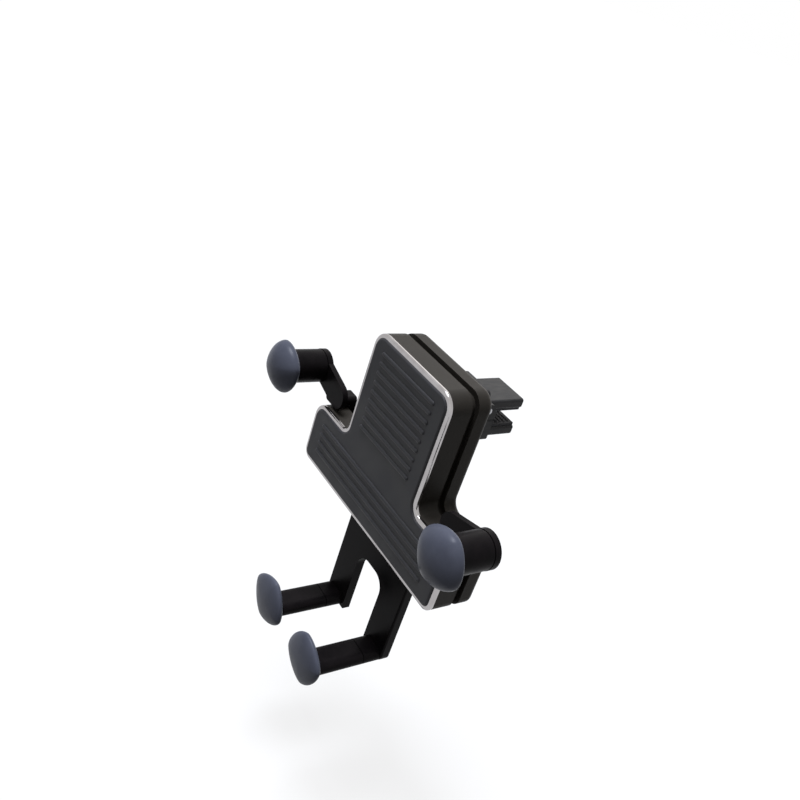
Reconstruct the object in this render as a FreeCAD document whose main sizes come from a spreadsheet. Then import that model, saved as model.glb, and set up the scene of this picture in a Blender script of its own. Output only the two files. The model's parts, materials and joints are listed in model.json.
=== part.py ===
import FreeCAD, Part
import math
import os
import re
import Sketcher

# Gravity holder on a vent clip. Millimetres, X to the right, Y back towards the vent, Z up.
# The origin is the middle of the gap between the clip jaws.

DRIVING = [
    # alias, value, what it is
    ("front_y", -33, "plane the held thing leans on"),
    ("bar_half", 37.3, "half width of the crossbar"),
    ("bar_low", -40, "underside of the crossbar"),
    ("bar_top", -19.5, "top of the crossbar"),
    ("tower_half", 19, "half width of the tower"),
    ("tower_top", 16, "top of the tower"),
    ("corner_radius", 5, "upper corners of the housing"),
    ("bar_corner", 3.2, "lower corners of the crossbar"),
    ("least_round", 0.4, "smallest corner inside a moulding"),
    ("hollow_radius", 3, "inner corners between tower and crossbar"),
    ("back_round", 2, "rounded back edge of the housing"),
    ("edge_round", 0.6, "small rounded edges"),
    ("wall", 1.8, "housing side wall"),
    ("face_wall", 1.5, "housing front wall"),
    ("back_wall", 1.6, "housing back wall"),
    ("rest_thick", 1.5, "soft front rest"),
    ("trim_thick", 1.0, "bright trim ring, front to back"),
    ("trim_width", 1.2, "bright trim ring, seen from the front"),
    ("front_depth", 6.5, "front housing, front to back"),
    ("slot_gap", 2.3, "groove between the housings"),
    ("rear_depth", 5.2, "rear housing, front to back"),
    ("groove_depth", 1.6, "depth of that groove"),
    ("sill_depth", 0.2, "depth of that groove along the underside"),
    ("rim_wall", 1.0, "wall at the bottom of that groove"),
    ("slide_gap", 0.15, "play of a sliding piece"),
    ("tooth_module", 0.75, "module of racks and pinions"),
    ("pinion_x", 20, "pinion axis from the middle"),
    ("pinion_z", -30.5, "pinion axis height"),
    ("pinion_pin_radius", 1.2, "pinion axle"),
    ("pin_play", 0.03, "radial play on an axle"),
    ("arm_in", 9.5, "inner end of an arm rack"),
    ("arm_out", 36.5, "outer end of an arm blade"),
    ("riser_width", 5.5, "width of the arm riser"),
    ("riser_round", 1.2, "rounded corners of the arm riser"),
    ("step_drop", 4.2, "top of the step between riser and ear, below the side pad axis"),
    ("step_height", 3.0, "height of that step"),
    ("slot_in", 24.7, "inner end of the slot over the shoulder"),
    ("arm_reach", 44.1, "side pad axis from the middle"),
    ("arm_z", -11.4, "side pad axis height"),
    ("ear_front", 2.2, "front of the arm ear behind the rest plane"),
    ("ear_thick", 1.8, "thickness of the arm ear"),
    ("ear_radius", 5.3, "round end of the arm ear"),
    ("ear_bar_half", 4.05, "half width of the ear bar"),
    ("ear_bar_length", 13, "length of the ear bar"),
    ("ear_slope", 15, "slope of the ear bar, degrees"),
    ("peg_radius", 3.2, "peg in a side pad"),
    ("peg_length", 14, "peg ahead of the ear"),
    ("sleeve_radius", 5.2, "side pad sleeve"),
    ("sleeve_gap", 0.25, "shadow line behind a sleeve"),
    ("cap_across", 8.15, "half size of a pad head across the edge it holds"),
    ("cap_along", 8.85, "half size of a pad head along the edge it holds"),
    ("cap_round", 4.8, "corner radius of a pad head"),
    ("cap_back", 3.8, "pad head behind its widest plane"),
    ("cap_front", 2.0, "pad head ahead of its widest plane"),
    ("side_cap_y", -12.2, "widest plane of a side pad from the rest plane"),
    ("foot_cap_y", -14.5, "widest plane of a foot pad from the rest plane"),
    ("foot_cap_z", -77.3, "middle height of a foot pad head"),
    ("foot_x", 12.5, "foot axis from the middle"),
    ("foot_z", -80.4, "foot peg height"),
    ("foot_thick", 3, "foot slide plate"),
    ("leg_in", 9.5, "inner side of a foot rack"),
    ("leg_out", 17.5, "outer side of a leg"),
    ("leg_inner", 7, "inner side of a leg"),
    ("leg_top", -48.5, "top of the leg plate"),
    ("arch_top", -58, "top of the arch between the legs"),
    ("rack_top", -21, "top of the foot slide"),
    ("bridge_low", -25, "underside of the upper bridge"),
    ("shelf_front", 5, "front of the foot shelf behind the rest plane"),
    ("shelf_half", 2.2, "half height of the foot shelf"),
    ("shelf_span", 2.3, "half distance of the shelf end centres"),
    ("foot_peg_half", 1.2, "half height of a foot peg"),
    ("foot_peg_span", 1.8, "half distance of the peg end centres"),
    ("foot_peg_end", -13, "front end of a foot peg from the rest plane"),
    ("spring_radius", 1.35, "return spring, mean radius"),
    ("spring_wire", 0.22, "return spring, wire radius"),
    ("spring_turns", 6, "return spring, turns"),
    ("ball_depth", 12.5, "ball centre behind the rest plane"),
    ("ball_radius", 6, "ball"),
    ("liner_gap", 0.04, "play between ball and liners"),
    ("liner_thick", 0.95, "each ball liner"),
    ("boss_radius", 10, "ball boss"),
    ("nut_radius", 12.5, "lock nut"),
    ("nut_front", 6.5, "front of the lock nut behind the rest plane"),
    ("nut_back", 18.3, "back of the lock nut behind the rest plane"),
    ("nut_mouth", 5.5, "opening of the lock nut"),
    ("nut_play", 0.05, "play of the lock nut on its boss"),
    ("notch_radius", 1.1, "finger notches of the lock nut"),
    ("nut_hole", 13, "hole of the rear housing round the nut"),
    ("neck_radius", 2.6, "neck of the ball stud"),
    ("neck_end", -9.4, "end of the ball stud in the hub"),
    ("stud_boss_radius", 4, "boss of the clip hub round the stud"),
    ("stud_boss_length", 1.2, "that boss ahead of the hub"),
    ("hub_front", -11.3, "front of the clip hub"),
    ("hub_back", -4.3, "back of the clip hub"),
    ("hub_half", 8.2, "half width of the clip hub"),
    ("hub_top", 1.4, "top of the clip hub"),
    ("jaw_half", 6.4, "half width of the jaws"),
    ("jaw_tip", 7, "back ends of the jaws"),
    ("jaw_inner", 3.1, "inner face of a jaw from the middle"),
    ("jaw_thick", 3, "thickness of a jaw"),
    ("grip_thick", 0.8, "rubber grip on a jaw"),
    ("ear_gap", 0.2, "play of the upper jaw between the hub ears"),
    ("clip_pin_y", -7.3, "clip pin from the origin"),
    ("clip_pin_z", 3.9, "clip pin height"),
    ("clip_pin_radius", 1.0, "clip pin"),
    ("knuckle_radius", 2.3, "knuckle of the upper jaw"),
    ("knuckle_cut", 2.3, "half gap for the clip spring"),
    ("tab_top", 9.2, "top of the thumb tab"),
    ("tab_thick", 2.2, "thickness of the thumb tab"),
    ("coil_radius", 1.5, "clip spring, mean radius"),
    ("coil_wire", 0.28, "clip spring, wire radius"),
    ("coil_turns", 5, "clip spring, turns"),
    ("screw_inset", 5.8, "lower housing screws in from the crossbar's end"),
    ("screw_rise", 5.2, "lower housing screws above the crossbar's underside"),
    ("top_screw_inset", 4.5, "upper housing screws in from the tower's sides and top"),
    ("screw_radius", 0.95, "screw shank"),
    ("screw_head", 1.9, "screw head"),
    ("screw_head_thick", 1.1, "screw head, front to back"),
    ("screw_end", 4, "front end of a screw behind the rest plane"),
    ("post_radius", 2.3, "screw posts and pin bosses"),
    ("drive_reach", 1.3, "half length of a screw slot"),
    ("drive_half", 0.2, "half width of a screw slot"),
    ("drive_depth", 0.5, "depth of a screw slot"),
    ("rail_height", 4.5, "rail ahead of an arm blade"),
    ("rail_reach", 12, "inner end of that rail from the pinion axis"),
    ("guide_in", 2.4, "inner side of a leg guide"),
    ("guide_drop", 6.5, "top of a leg guide below the upper bridge"),
    ("leg_round", 3, "upper corners of the leg plate"),
    ("arch_round", 5, "upper corners of the arch"),
    ("hub_round", 1, "corners of the clip hub"),
    ("jaw_round", 0.8, "long edges of the jaws"),
    ("tab_round", 1.5, "corners of the thumb tab"),
    ("ear_inset", 1, "hub ears behind the front of the hub"),
    ("grip_inset", 0.6, "grip in from the sides of a jaw"),
    ("grip_root", 0.8, "grip behind the hub"),
    ("grip_end", 0.4, "grip ahead of the jaw's end"),
    ("notch_rise", 0.6, "finger notches behind the housing"),
    ("inner_liner_end", 0.75, "open end of the inner liner, as a share of the ball's radius"),
    ("outer_liner_end", 0.72, "open end of the outer liner, as a share of the ball's radius"),
    ("side_lap", 0.6, "side sleeve inside its pad head"),
    ("foot_lap", 2.2, "foot sleeve inside its pad head"),
    ("coil_play", 0.15, "play at each end of the clip spring"),
    ("tip_gap", 0.2, "room past the tips of the leg teeth"),
    ("clearance", 0.3, "room round a moving piece"),
    ("fit_gap", 0.1, "room round a piece set in a recess"),
    ("run_on", 1, "how far a cutter or a joined piece runs past a face"),
    ("run_in", 0.2, "how far a joined piece sinks into its neighbour"),
    ("run_through", 20, "reach of a cutter that goes right through"),
]

WORDS = {alias for alias, value, note in DRIVING}
PRESSURE_ANGLE = math.radians(20)
PINION_TEETH = 14
RACK_TEETH = 8
ADDENDUM = 0.8
DEDENDUM = 1.0
BACKLASH = 0.1
# Depths from the pitch line, in modules.
TOOTH_FOOT = 1.3
CORE_DEPTH = 1.05
RACK_FOOT = 1.2
FLANK_LOW = 0.05
FLANK_HIGH = 0.4
NUT_NOTCHES = 16

doc = FreeCAD.newDocument("vent_holder")
sizes = doc.addObject("Spreadsheet::Sheet", "Sizes")


def fill_sheet():
    for row, (alias, value, note) in enumerate(DRIVING, 1):
        sizes.set(f"A{row}", note)
        sizes.set(f"B{row}", str(value))
        sizes.setAlias(f"B{row}", alias)
    doc.recompute()


def ex(formula):
    """A formula in plain names as one that reads the sheet."""
    def named(match):
        word = match.group()
        return "Sizes." + word if word in WORDS else word
    return re.sub(r"[a-z][a-z0-9_]*", named, str(formula))


def number(formula):
    """The present value of a formula, for a first drawing."""
    sizes.set("D1", f"={formula}")
    sizes.recompute()
    value = float(sizes.get("D1"))
    sizes.clear("D1")
    return value


def behind(depth):
    """A depth behind the rest plane as a Y formula."""
    return f"front_y + ({depth})"


FACE = "rest_thick"
SLOT = "rest_thick + front_depth"
SEAM = "rest_thick + front_depth + slot_gap"
BACK = "rest_thick + front_depth + slot_gap + rear_depth"
FLOOR = "rest_thick + face_wall"
CEILING = f"{BACK} - back_wall"
BLADE = (behind(f"{SLOT} + slide_gap"), behind(f"{SEAM} - slide_gap"))
SLIDE = (behind(f"{CEILING} - slide_gap - foot_thick"), behind(f"{CEILING} - slide_gap"))
PITCH_RADIUS = f"tooth_module * {PINION_TEETH / 2}"
TOOTH_PITCH = f"tooth_module * {math.pi:.6f}"
SEAT_RADIUS = "ball_radius + 2 * liner_thick + 3 * liner_gap"
BALL_Y = behind("ball_depth")


def place(item, x, y, z):
    for axis, formula in zip("xyz", (x, y, z)):
        item.setExpression("Placement.Base." + axis, ex(formula))
    return item


def box(name, x, y, z):
    item = doc.addObject("Part::Box", name)
    for side, (low, high) in zip(("Length", "Width", "Height"), (x, y, z)):
        item.setExpression(side, ex(f"({high}) - ({low})"))
    return place(item, x[0], y[0], z[0])


def rod(name, radius, y, x="0", z="0"):
    """A cylinder along Y."""
    item = doc.addObject("Part::Cylinder", name)
    item.Placement.Rotation = FreeCAD.Rotation(FreeCAD.Vector(1, 0, 0), -90)
    item.setExpression("Radius", ex(radius))
    item.setExpression("Height", ex(f"({y[1]}) - ({y[0]})"))
    return place(item, x, y[0], z)


def cross_rod(name, radius, x, y, z):
    """A cylinder along X."""
    item = doc.addObject("Part::Cylinder", name)
    item.Placement.Rotation = FreeCAD.Rotation(FreeCAD.Vector(0, 1, 0), 90)
    item.setExpression("Radius", ex(radius))
    item.setExpression("Height", ex(f"({x[1]}) - ({x[0]})"))
    return place(item, x[0], y, z)


def ball(name, radius):
    item = doc.addObject("Part::Sphere", name)
    item.setExpression("Radius", ex(radius))
    return place(item, "0", BALL_Y, "0")


def fuse(name, *items):
    item = doc.addObject("Part::MultiFuse", name)
    item.Shapes = list(items)
    return item


def cut(name, base, *tools):
    item = doc.addObject("Part::Cut", name)
    item.Base = base
    item.Tool = tools[0] if len(tools) == 1 else fuse(name + "_tools", *tools)
    return item


def mirror(name, source):
    item = doc.addObject("Part::Mirroring", name)
    item.Source = source
    item.Base = FreeCAD.Vector(0, 0, 0)
    item.Normal = FreeCAD.Vector(1, 0, 0)
    return item


def front_sketch(body, name, y):
    """A sketch in the XZ plane at a given Y."""
    sketch = body.newObject("Sketcher::SketchObject", name)
    sketch.Placement.Rotation = FreeCAD.Rotation(FreeCAD.Vector(1, 0, 0), 90)
    return place(sketch, "0", y, "0")


def fix(sketch, kind, formula, *points):
    """One measured constraint that follows a formula."""
    row = sketch.addConstraint(Sketcher.Constraint(kind, *points, number(formula)))
    sketch.setExpression(f"Constraints[{row}]", ex(formula))


def spot(x, z):
    return FreeCAD.Vector(number(x), number(z), 0)


def polygon(sketch, points):
    """Straight edges through points whose places follow formulas."""
    spots = [spot(x, z) for x, z in points]
    count = len(points)
    for i in range(count):
        sketch.addGeometry(Part.LineSegment(spots[i], spots[(i + 1) % count]))
    for i in range(count):
        sketch.addConstraint(Sketcher.Constraint("Coincident", i, 2, (i + 1) % count, 1))
    for i, (x, z) in enumerate(points):
        fix(sketch, "DistanceX", x, -1, 1, i, 1)
        fix(sketch, "DistanceY", z, -1, 1, i, 1)


def turn_arc(sketch, before, corner, after, radius):
    """The rounding of one square corner, drawn the short way round."""
    arm = (before - corner).normalize() * radius
    leg = (after - corner).normalize() * radius
    middle = corner + (arm + leg) * (1 - math.sqrt(0.5))
    return sketch.addGeometry(Part.Arc(corner + arm, middle, corner + leg))


def arc_end(sketch, arc, point):
    """Which end of a drawn arc lies at a point."""
    near = (sketch.getPoint(arc, 1) - point).Length
    return 1 if near < (sketch.getPoint(arc, 2) - point).Length else 2


def rounded(sketch, corners):
    """An outline of level and upright edges with rounded corners (x, z, radius)."""
    spots = [spot(x, z) for x, z, r in corners]
    radii = [number(r) for x, z, r in corners]
    count = len(corners)
    for i in range(count):
        start, end = spots[i], spots[(i + 1) % count]
        way = FreeCAD.Vector(end - start).normalize()
        sketch.addGeometry(Part.LineSegment(start + way * radii[i], end - way * radii[(i + 1) % count]))
    for i in range(count):
        turn_arc(sketch, spots[i - 1], spots[i], spots[(i + 1) % count], radii[i])
    for i, (x, z, r) in enumerate(corners):
        arc, line, last = count + i, i, (i - 1) % count
        for edge, end in ((last, 2), (line, 1)):
            tip = arc_end(sketch, arc, sketch.getPoint(edge, end))
            sketch.addConstraint(Sketcher.Constraint("Tangent", edge, end, arc, tip))
        fix(sketch, "Radius", r, arc)
        level = abs(spots[i].y - spots[(i + 1) % count].y) < 1e-6
        sketch.addConstraint(Sketcher.Constraint("Horizontal" if level else "Vertical", line))
        if level:
            fix(sketch, "DistanceY", z, -1, 1, line, 1)
        else:
            fix(sketch, "DistanceX", x, -1, 1, line, 1)


def disc(sketch, x, z, radius):
    sketch.addGeometry(Part.Circle(spot(x, z), FreeCAD.Vector(0, 0, 1), number(radius)))
    fix(sketch, "DistanceX", x, -1, 1, 0, 3)
    fix(sketch, "DistanceY", z, -1, 1, 0, 3)
    fix(sketch, "Radius", radius, 0)


def around_circles(sketch, circles, radius):
    """The outline drawn tight round equal circles, given anticlockwise as (x, z)."""
    spots = [spot(x, z) for x, z in circles]
    size = number(radius)
    count = len(circles)
    normals = []
    for i in range(count):
        way = FreeCAD.Vector(spots[(i + 1) % count] - spots[i]).normalize()
        normals.append(FreeCAD.Vector(way.y, -way.x, 0) * size)
        sketch.addGeometry(Part.LineSegment(spots[i] + normals[i], spots[(i + 1) % count] + normals[i]))
    for i in range(count):
        first = math.atan2(normals[i - 1].y, normals[i - 1].x)
        last = math.atan2(normals[i].y, normals[i].x)
        if last < first:
            last += 2 * math.pi
        circle = Part.Circle(spots[i], FreeCAD.Vector(0, 0, 1), size)
        sketch.addGeometry(Part.ArcOfCircle(circle, first, last))
    for i, (x, z) in enumerate(circles):
        arc = count + i
        sketch.addConstraint(Sketcher.Constraint("Tangent", (i - 1) % count, 2, arc, 1))
        sketch.addConstraint(Sketcher.Constraint("Tangent", arc, 2, i, 1))
        fix(sketch, "DistanceX", x, -1, 1, arc, 3)
        fix(sketch, "DistanceY", z, -1, 1, arc, 3)
        fix(sketch, "Radius", radius, arc)


def outlined(body, name, y, draw, *shape):
    sketch = front_sketch(body, name + "_outline", y)
    draw(sketch, *shape)
    return sketch


def padded(body, name, y, draw, *shape):
    """A sketch in a body, padded from y[0] back to y[1]."""
    sketch = outlined(body, name, y[0], draw, *shape)
    pad = body.newObject("PartDesign::Pad", name + "_pad")
    pad.Profile = sketch
    pad.Reversed = True
    pad.setExpression("Length", ex(f"({y[1]}) - ({y[0]})"))
    return pad, sketch


def plate(name, y, draw, *shape):
    body = doc.addObject("PartDesign::Body", name)
    padded(body, name, y, draw, *shape)
    return body


def soften(body, y, radius):
    """Round the edges of a plate that lie in the plane at y."""
    for item in body.Group:
        item.recompute()
    base = body.Tip
    level = number(y)
    edges = []
    for i, edge in enumerate(base.Shape.Edges, 1):
        if all(abs(end.Y - level) < 1e-4 for end in edge.Vertexes):
            edges.append(f"Edge{i}")
    fillet = body.newObject("PartDesign::Fillet", f"{base.Name}_round")
    fillet.Base = (base, edges)
    fillet.setExpression("Radius", ex(radius))
    return body


def block(name, x, y, z, radius):
    """A box with rounded edges along Y."""
    corners = [(x[1], z[0], radius), (x[1], z[1], radius), (x[0], z[1], radius), (x[0], z[0], radius)]
    return plate(name, y, rounded, corners)


def bell(inset, low=None):
    """The housing outline, drawn in from its edge: a crossbar with a tower on it."""
    low = inset if low is None else low
    outer = f"max(least_round; corner_radius - ({inset}))"
    lower = f"max(least_round; bar_corner - ({inset}))"
    inner = f"hollow_radius + ({inset})"
    right = [
        (f"bar_half - ({inset})", f"bar_low + ({low})", lower),
        (f"bar_half - ({inset})", f"bar_top - ({inset})", outer),
        (f"tower_half - ({inset})", f"bar_top - ({inset})", inner),
        (f"tower_half - ({inset})", f"tower_top - ({inset})", outer),
    ]
    left = [(f"-({x})", z, r) for x, z, r in reversed(right)]
    return right + left


def both_sides(x):
    return ((1, x), (-1, f"-({x})"))


def screw_spots():
    spots = []
    for sign, x in both_sides("bar_half - screw_inset"):
        spots.append(("right" if sign > 0 else "left", "low", x, "bar_low + screw_rise"))
    for sign, x in both_sides("tower_half - top_screw_inset"):
        spots.append(("right" if sign > 0 else "left", "top", x, "tower_top - top_screw_inset"))
    return spots


def make_front_housing():
    shell = cut(
        "front_shell",
        plate("front_block", (behind(FACE), behind(SLOT)), rounded, bell("0")),
        plate("front_hollow", (behind(FLOOR), behind(f"{SLOT} + run_on")), rounded, bell("wall")))
    boss = rod("ball_boss", "boss_radius", (behind(f"{FLOOR} - run_in"), BALL_Y))
    extra = [boss]
    holes = [ball("seat_hollow", SEAT_RADIUS)]
    depth = (behind(f"{FLOOR} - run_in"), behind(SLOT))
    for side, level, x, z in screw_spots():
        extra.append(rod(f"{side}_{level}_front_post", "post_radius", depth, x, z))
        drill = (behind("screw_end"), behind(f"{SLOT} + run_on"))
        holes.append(rod(f"{side}_{level}_pilot", "screw_radius", drill, x, z))
    for sign, x in both_sides("pinion_x"):
        extra.append(rod(f"pin_boss_{sign + 1}", "post_radius", depth, x, "pinion_z"))
        drill = (behind(FLOOR), behind(f"{SLOT} + run_on"))
        holes.append(rod(f"pin_seat_{sign + 1}", "pinion_pin_radius", drill, x, "pinion_z"))
    rail_z = ("bar_top - wall - rail_height", "bar_top - wall + run_in")
    rail_x = ("pinion_x - rail_reach", "bar_half - wall + run_in")
    extra.append(box("right_front_rail", rail_x, depth, rail_z))
    extra.append(box("left_front_rail", (f"-({rail_x[1]})", f"-({rail_x[0]})"), depth, rail_z))
    return cut("front_housing", fuse("front_whole", shell, *extra), *holes)


def make_rear_housing():
    block_y = (behind(SEAM), behind(BACK))
    shell = cut(
        "rear_shell",
        soften(plate("rear_block", block_y, rounded, bell("0")), block_y[1], "back_round"),
        plate("rear_hollow", (behind(f"{SEAM} - run_on"), behind(CEILING)), rounded, bell("wall")))
    hollow_y = (behind(f"{SLOT} - run_on"), behind(CEILING))
    rim_y = (behind(SLOT), behind(f"{CEILING} + run_in"))
    rim = cut(
        "rear_rim",
        plate("rim_block", rim_y, rounded, bell("groove_depth", "sill_depth")),
        plate("rim_hollow", hollow_y, rounded, bell("groove_depth + rim_wall")))
    extra = []
    holes = [rod("nut_way", "nut_hole", (behind(f"{SLOT} - run_on"), behind(f"{BACK} + run_on")))]
    for side, level, x, z in screw_spots():
        extra.append(rod(f"{side}_{level}_rear_post", "post_radius", rim_y, x, z))
        through = (behind(f"{SLOT} - run_on"), behind(f"{BACK} + run_on"))
        holes.append(rod(f"{side}_{level}_way", "screw_radius + fit_gap", through, x, z))
        sink = (behind(f"{BACK} - screw_head_thick"), behind(f"{BACK} + run_on"))
        holes.append(rod(f"{side}_{level}_sink", "screw_head + fit_gap", sink, x, z))
    guide_z = ("bar_low + wall - run_in", "bridge_low - guide_drop")
    guide_y = (behind(SEAM), behind(f"{CEILING} + run_in"))
    extra.append(box("right_guide", ("guide_in", "leg_in - slide_gap"), guide_y, guide_z))
    extra.append(box("left_guide", ("slide_gap - leg_in", "-guide_in"), guide_y, guide_z))
    leg_y = (behind(f"{CEILING} - foot_thick - 2 * slide_gap"), behind(CEILING))
    leg_z = ("bar_low - run_on", "bar_low + groove_depth + rim_wall + run_on")
    leg_edge = f"pinion_x - {PITCH_RADIUS} + tooth_module * {ADDENDUM} + tip_gap"
    holes.append(box("right_leg_slot", ("leg_in - slide_gap", leg_edge), leg_y, leg_z))
    holes.append(box("left_leg_slot", (f"-({leg_edge})", "slide_gap - leg_in"), leg_y, leg_z))
    slot_y = (behind(f"{SLOT} - run_on"), behind(SEAM))
    slot_z = (f"pinion_z + {PITCH_RADIUS} - tooth_module * {ADDENDUM} - clearance", "bar_top + run_on")
    holes.append(box("right_arm_slot", ("slot_in", "bar_half + run_on"), slot_y, slot_z))
    holes.append(box("left_arm_slot", ("-bar_half - run_on", "-slot_in"), slot_y, slot_z))
    return cut("rear_housing", fuse("rear_whole", shell, rim, *extra), *holes)


def make_face_pieces():
    trim_y = (behind(f"{FACE} - trim_thick"), behind(FACE))
    trim = cut(
        "trim_ring",
        soften(plate("trim_block", trim_y, rounded, bell("0")), trim_y[0], "edge_round"),
        plate("trim_hollow", (behind("-run_on"), behind(f"{FACE} + run_on")), rounded, bell("trim_width")))
    rest = plate("front_rest", (behind("0"), behind(FACE)), rounded, bell("trim_width + fit_gap"))
    return [trim, soften(rest, behind("0"), "edge_round")]


def make_screw(side, level, x, z):
    shank_y = (behind("screw_end"), behind(f"{BACK} - drive_depth"))
    shank = rod(f"{side}_{level}_shank", "screw_radius", shank_y, x, z)
    head_y = (behind(f"{BACK} - screw_head_thick"), behind(BACK))
    head = rod(f"{side}_{level}_head", "screw_head", head_y, x, z)
    drive_y = (behind(f"{BACK} - drive_depth"), behind(f"{BACK} + run_on"))
    drive = box(
        f"{side}_{level}_drive", (f"{x} - drive_reach", f"{x} + drive_reach"), drive_y,
        (f"{z} - drive_half", f"{z} + drive_half"))
    cross = box(
        f"{side}_{level}_cross", (f"{x} - drive_half", f"{x} + drive_half"), drive_y,
        (f"{z} - drive_reach", f"{z} + drive_reach"))
    return cut(f"{side}_{level}_screw", fuse(f"{side}_{level}_solid", shank, head), drive, cross)


def tooth_line(radius):
    """Half angle of a pinion tooth at a radius, both in modules."""
    pitch = PINION_TEETH / 2
    base = pitch * math.cos(PRESSURE_ANGLE)
    half = (math.pi / 2 - BACKLASH) / 2 / pitch
    slope = math.acos(min(1, base / radius))
    return half + math.tan(PRESSURE_ANGLE) - PRESSURE_ANGLE - math.tan(slope) + slope


def pinion_tooth():
    """One tooth pointing up, as points in modules from the pinion axis."""
    pitch = PINION_TEETH / 2
    base = pitch * math.cos(PRESSURE_ANGLE)
    radii = [pitch - TOOTH_FOOT, base, pitch - FLANK_LOW, pitch + FLANK_HIGH, pitch + ADDENDUM]
    right = [(r * math.sin(tooth_line(r)), r * math.cos(tooth_line(r))) for r in radii]
    points = right + [(-x, z) for x, z in reversed(right)]
    return [(f"tooth_module * {x:.6f}", f"tooth_module * {z:.6f}") for x, z in points]


def make_pinion(name, x):
    body = doc.addObject("PartDesign::Body", name)
    y = (BLADE[0], SLIDE[1])
    padded(body, name + "_core", y, disc, "0", "0", f"tooth_module * {PINION_TEETH / 2 - CORE_DEPTH}")
    tooth, sketch = padded(body, name + "_tooth", y, polygon, pinion_tooth())
    ring = body.newObject("PartDesign::PolarPattern", name + "_teeth")
    ring.Originals = [tooth]
    ring.Axis = (sketch, ["N_Axis"])
    ring.Angle = 360
    ring.Occurrences = PINION_TEETH
    body.Tip = ring
    place(body, x, "0", "pinion_z")
    bore_y = (f"{y[0]} - run_on", f"{y[1]} + run_on")
    bore = rod(name + "_bore", "pinion_pin_radius + pin_play", bore_y, x, "pinion_z")
    return body, bore


def rack_tooth(middle, pitch_line, way):
    """A rack tooth in formulas: along its row, and across it towards the pinion."""
    half = (math.pi / 2 - BACKLASH) / 2
    tip = half - ADDENDUM * math.tan(PRESSURE_ANGLE)
    root = half + RACK_FOOT * math.tan(PRESSURE_ANGLE)
    low = f"{pitch_line} - ({way}) * tooth_module * {RACK_FOOT}"
    high = f"{pitch_line} + ({way}) * tooth_module * {ADDENDUM}"
    corners = [(root, low), (tip, high), (-tip, high), (-root, low)]
    return [(f"{middle} + tooth_module * {share:.6f}", across) for share, across in corners]


def row_of_teeth(body, name, y, tooth, axis):
    pad, sketch = padded(body, name, y, polygon, tooth)
    row = body.newObject("PartDesign::LinearPattern", name + "_row")
    row.Originals = [pad]
    row.Direction = (sketch, [axis])
    row.setExpression("Length", ex(f"{RACK_TEETH - 1} * {TOOTH_PITCH}"))
    row.Occurrences = RACK_TEETH
    body.Tip = row


def make_arm_blade():
    """Rack of the right arm: teeth face down on to the pinion."""
    root = f"pinion_z + {PITCH_RADIUS} + tooth_module * {DEDENDUM}"
    top = "bar_top - groove_depth - rim_wall - slide_gap"
    body = doc.addObject("PartDesign::Body", "arm_blade")
    outline = [("arm_in", root), ("arm_out", root), ("arm_out", top), ("arm_in", top)]
    padded(body, "blade_bar", BLADE, polygon, outline)
    first = f"pinion_x - {RACK_TEETH // 2 - 0.5} * {TOOTH_PITCH}"
    row_of_teeth(body, "blade_tooth", BLADE, rack_tooth(first, f"pinion_z + {PITCH_RADIUS}", "-1"), "H_Axis")
    return body


def make_right_arm():
    ear_y = (behind("ear_front"), behind("ear_front + ear_thick"))
    riser_x = ("arm_out - riser_width", "arm_out")
    root = f"pinion_z + {PITCH_RADIUS} + tooth_module * {DEDENDUM}"
    step_z = ("arm_z - step_drop - step_height", "arm_z - step_drop")
    riser = block("arm_riser", riser_x, BLADE, (root, step_z[1]), "riser_round")
    step = block("arm_step", riser_x, (ear_y[0], BLADE[1]), step_z, "riser_round")
    ear = rod("arm_ear", "ear_radius", ear_y, "arm_reach", "arm_z")
    bar_x = "arm_reach - ear_bar_length * cos(ear_slope * 1deg)"
    bar_z = "arm_z - ear_bar_length * sin(ear_slope * 1deg)"
    ends = [(bar_x, bar_z), ("arm_reach", "arm_z")]
    bar = plate("arm_ear_bar", ear_y, around_circles, ends, "ear_bar_half")
    peg = rod("arm_peg", "peg_radius", (f"{ear_y[0]} - peg_length", ear_y[1]), "arm_reach", "arm_z")
    return fuse("right_arm", make_arm_blade(), riser, step, ear, bar, peg)


CAP_ANGLES = (-90, -60, -30, 0, 25, 45, 60, 72, 82)
CAP_BACK_SHARE = 0.5
CAP_BOW = 0.85


def cap_profile(angle):
    """Shares of the depth and of the size of a pad head at one angle round its rim."""
    bow = max(0, math.cos(math.radians(angle)))
    if angle < 0:
        return math.sin(math.radians(angle)), CAP_BACK_SHARE + (1 - CAP_BACK_SHARE) * bow
    return math.sin(math.radians(angle)), bow ** CAP_BOW


def cap_section(body, name, x, y, z, half_x, half_z, angle):
    step, share = cap_profile(angle)
    depth = "cap_back" if angle < 0 else "cap_front"
    sketch = front_sketch(body, name, f"{y} - ({step:.5f}) * {depth}")
    reach_x = f"{share:.5f} * ({half_x} - cap_round)"
    reach_z = f"{share:.5f} * ({half_z} - cap_round)"
    circles = [
        (f"{x} + {reach_x}", z), (x, f"{z} + {reach_z}"),
        (f"{x} - {reach_x}", z), (x, f"{z} - {reach_z}"),
    ]
    around_circles(sketch, circles, f"{share:.5f} * cap_round")
    return sketch


def make_cap(name, x, y, z, half_x, half_z):
    """The petal head of a pad, lofted through rounded diamonds."""
    body = doc.addObject("PartDesign::Body", name)
    sketches = []
    for i, angle in enumerate(CAP_ANGLES):
        sketches.append(cap_section(body, f"{name}_{i}", x, y, z, half_x, half_z, angle))
    loft = body.newObject("PartDesign::AdditiveLoft", name + "_loft")
    loft.Profile = sketches[0]
    loft.Sections = sketches[1:]
    return body


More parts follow.
